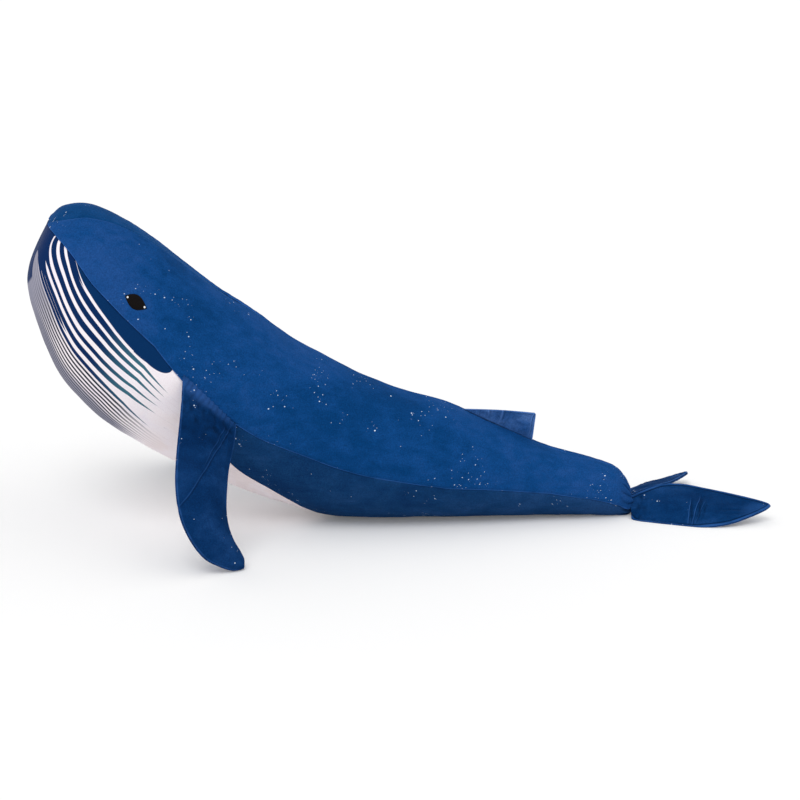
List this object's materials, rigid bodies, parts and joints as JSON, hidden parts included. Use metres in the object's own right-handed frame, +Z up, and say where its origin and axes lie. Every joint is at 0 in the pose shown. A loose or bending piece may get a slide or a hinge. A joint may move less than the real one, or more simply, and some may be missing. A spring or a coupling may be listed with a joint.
{
  "type": "plush whale",
  "caption": "Stuffed velvet whale lying on its belly with its head raised on two flippers, with a small back fin and paired fluke lobes.",
  "frame": {"origin": "under the middle of the object's box, on the surface it rests on", "axes": "+X from the head toward the tail, +Y toward the whale's right side, +Z up"},
  "size_m": [0.9158, 0.4364, 0.3775],
  "materials": {
    "side_velvet": "short-pile velvet, mid blue with brushed patches and small pale specks",
    "gusset_velvet": "short-pile velvet, deeper blue",
    "throat_velvet": "short-pile velvet, off-white printed with dark blue throat grooves",
    "belly_velvet": "short-pile velvet, dark blue",
    "flipper_velvet": "short-pile velvet, dark blue, lighter at the root",
    "fin_velvet": "short-pile velvet, mid blue",
    "fluke_velvet": "short-pile velvet, mid blue",
    "fibrefill": "loose white polyester fibre",
    "eye_thread": "glossy satin-stitched thread, near black"
  },
  "bodies": {
    "whale_body": {"left_side_panel": "side_velvet", "right_side_panel": "side_velvet", "back_gusset": "gusset_velvet", "throat_panel": "throat_velvet", "belly_panel": "belly_velvet", "head_filling": "fibrefill", "trunk_filling": "fibrefill", "tail_filling": "fibrefill", "left_eye": "eye_thread", "right_eye": "eye_thread"},
    "left_flipper": {"left_flipper_outer_panel": "flipper_velvet", "left_flipper_inner_panel": "flipper_velvet", "left_flipper_filling": "fibrefill"},
    "right_flipper": {"right_flipper_outer_panel": "flipper_velvet", "right_flipper_inner_panel": "flipper_velvet", "right_flipper_filling": "fibrefill"},
    "back_fin": {"fin_left_panel": "fin_velvet", "fin_right_panel": "fin_velvet"},
    "left_fluke": {"left_fluke_upper_panel": "fluke_velvet", "left_fluke_lower_panel": "fluke_velvet", "left_fluke_filling": "fibrefill"},
    "right_fluke": {"right_fluke_upper_panel": "fluke_velvet", "right_fluke_lower_panel": "fluke_velvet", "right_fluke_filling": "fibrefill"}
  },
  "joints": [
    {"name": "left_flipper_swing", "type": "hinge", "parent": "whale_body", "child": "left_flipper", "pos_m": [-0.27937, -0.10578, 0.2017], "axis": [-0.7084, -0.0404, 0.7046], "range_deg": [-30, 75], "stiffness_Nm_per_rad": 2, "springref_deg": -3.72},
    {"name": "right_flipper_swing", "type": "hinge", "parent": "whale_body", "child": "right_flipper", "pos_m": [-0.27937, 0.10578, 0.2017], "axis": [0.7084, -0.0404, -0.7046], "range_deg": [-30, 75], "stiffness_Nm_per_rad": 2, "springref_deg": -3.72},
    {"name": "back_fin_fold", "type": "hinge", "parent": "whale_body", "child": "back_fin", "pos_m": [0.06239, 0, 0.13427], "axis": [0.9158, 0, -0.4017], "range_deg": [-60, 60], "stiffness_Nm_per_rad": 0.02},
    {"name": "left_fluke_flap", "type": "hinge", "parent": "whale_body", "child": "left_fluke", "pos_m": [0.28297, 0.00023, 0.02], "axis": [0.2924, -0.9563, 0], "range_deg": [-35, 60], "stiffness_Nm_per_rad": 0.4},
    {"name": "right_fluke_flap", "type": "hinge", "parent": "whale_body", "child": "right_fluke", "pos_m": [0.28297, 0.00023, 0.02], "axis": [0.2924, -0.9563, 0], "range_deg": [-35, 60], "stiffness_Nm_per_rad": 0.4}
  ]
}
